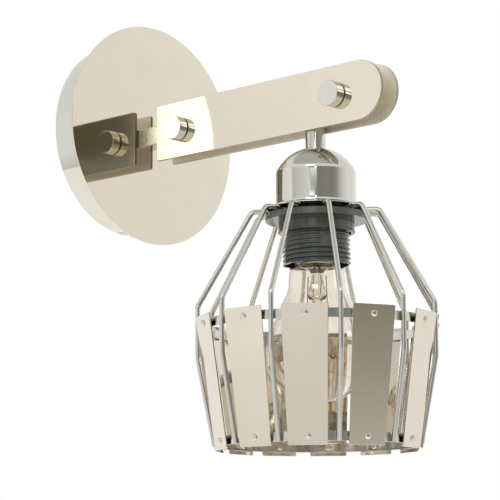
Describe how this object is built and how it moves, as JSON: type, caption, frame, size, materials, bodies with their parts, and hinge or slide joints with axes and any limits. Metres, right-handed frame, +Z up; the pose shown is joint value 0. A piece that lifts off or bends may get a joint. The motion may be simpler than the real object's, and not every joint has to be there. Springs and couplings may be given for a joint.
{
  "type": "wall lamp",
  "caption": "Chromed wall lamp: round mirror canopy, flat two-bar arm with screwed knobs, and a wire cage shade of riveted mirror plates round a clear bulb.",
  "frame": {"origin": "centre of the wall strap's back face, on the wall, on the axis of the canopy, 1.8 mm above the axis of the arm", "axes": "+Z up, +Y into the wall, arm along -Y, +X to the right for someone who faces the wall"},
  "size_m": [0.1403, 0.2295, 0.275],
  "materials": {
    "polished_chrome": "mirror polished chrome plate",
    "mirror_plate": "flat mirror polished steel",
    "chromed_wire": "bright chrome plate on drawn wire and strip",
    "zinc_steel": "zinc plated steel",
    "black_plastic": "satin black moulded plastic",
    "white_plastic": "natural moulded plastic",
    "ceramic": "off-white insulating insert",
    "lead_sleeve": "white lead sleeve",
    "brass": "plain brass",
    "nickel": "nickel plated",
    "solder": "dull solder",
    "black_glass": "black glass insulator",
    "clear_glass": "clear blown glass",
    "phosphor": "yellow phosphor coating"
  },
  "bodies": {
    "lamp": {"arm_tube": "polished_chrome", "back_bar": "mirror_plate", "canopy_cup": "polished_chrome", "centre_contact": "brass", "face_disc": "mirror_plate", "front_bar": "mirror_plate", "holder_cap": "black_plastic", "holder_insert": "ceramic", "holder_skirt": "black_plastic", "knob_collars": "polished_chrome", "lamp_cup": "polished_chrome", "lamp_leads": "lead_sleeve", "lock_nut": "zinc_steel", "root_nipple": "zinc_steel", "root_nut": "zinc_steel", "screw_shell": "brass", "stem": "polished_chrome", "strap_screws": "zinc_steel", "terminal_block": "white_plastic", "wall_strap": "zinc_steel"},
    "cage": {"cage_plate": "chromed_wire", "upper_hoop": "chromed_wire", "lower_hoop": "chromed_wire", "upper_rivets": "chromed_wire", "lower_rivets": "chromed_wire", "cage_wire_01": "chromed_wire", "cage_wire_02": "chromed_wire", "cage_wire_03": "chromed_wire", "cage_wire_04": "chromed_wire", "cage_wire_05": "chromed_wire", "cage_wire_06": "chromed_wire", "cage_wire_07": "chromed_wire", "cage_wire_08": "chromed_wire", "cage_wire_09": "chromed_wire", "cage_wire_10": "chromed_wire", "cage_wire_11": "chromed_wire", "cage_wire_12": "chromed_wire", "mirror_plate_01": "mirror_plate", "mirror_plate_02": "mirror_plate", "mirror_plate_03": "mirror_plate", "mirror_plate_04": "mirror_plate", "mirror_plate_05": "mirror_plate", "mirror_plate_06": "mirror_plate", "mirror_plate_07": "mirror_plate", "mirror_plate_08": "mirror_plate", "mirror_plate_09": "mirror_plate", "mirror_plate_10": "mirror_plate", "mirror_plate_11": "mirror_plate", "mirror_plate_12": "mirror_plate"},
    "ring": {"retaining_ring": "black_plastic"},
    "bulb": {"bulb_glass": "clear_glass", "bulb_mount": "clear_glass", "bulb_cap": "nickel", "bulb_contact": "solder", "bulb_insulator": "black_glass", "led_filaments": "phosphor"},
    "front_knob_near_body": {"front_knob_near": "polished_chrome"},
    "front_knob_far_body": {"front_knob_far": "polished_chrome"},
    "back_knob_near_body": {"back_knob_near": "polished_chrome"},
    "back_knob_far_body": {"back_knob_far": "polished_chrome"}
  },
  "joints": [
    {"name": "cage_turn", "type": "hinge", "parent": "lamp", "child": "cage", "pos_m": [0, -0.159, -0.0684], "axis": [0, 0, 1], "continuous": true},
    {"name": "ring_turn", "type": "hinge", "parent": "lamp", "child": "ring", "pos_m": [0, -0.159, -0.0754], "axis": [0, 0, 1], "continuous": true},
    {"name": "bulb_turn", "type": "hinge", "parent": "lamp", "child": "bulb", "pos_m": [0, -0.159, -0.0745], "axis": [0, 0, 1], "continuous": true},
    {"name": "front_knob_near_turn", "type": "hinge", "parent": "lamp", "child": "front_knob_near_body", "pos_m": [-0.0085, -0.0549, -0.0018], "axis": [-1, 0, 0], "continuous": true},
    {"name": "front_knob_far_turn", "type": "hinge", "parent": "lamp", "child": "front_knob_far_body", "pos_m": [-0.0085, -0.18075, -0.0018], "axis": [-1, 0, 0], "continuous": true},
    {"name": "back_knob_near_turn", "type": "hinge", "parent": "lamp", "child": "back_knob_near_body", "pos_m": [0.0085, -0.0549, -0.0018], "axis": [1, 0, 0], "continuous": true},
    {"name": "back_knob_far_turn", "type": "hinge", "parent": "lamp", "child": "back_knob_far_body", "pos_m": [0.0085, -0.18075, -0.0018], "axis": [1, 0, 0], "continuous": true}
  ]
}
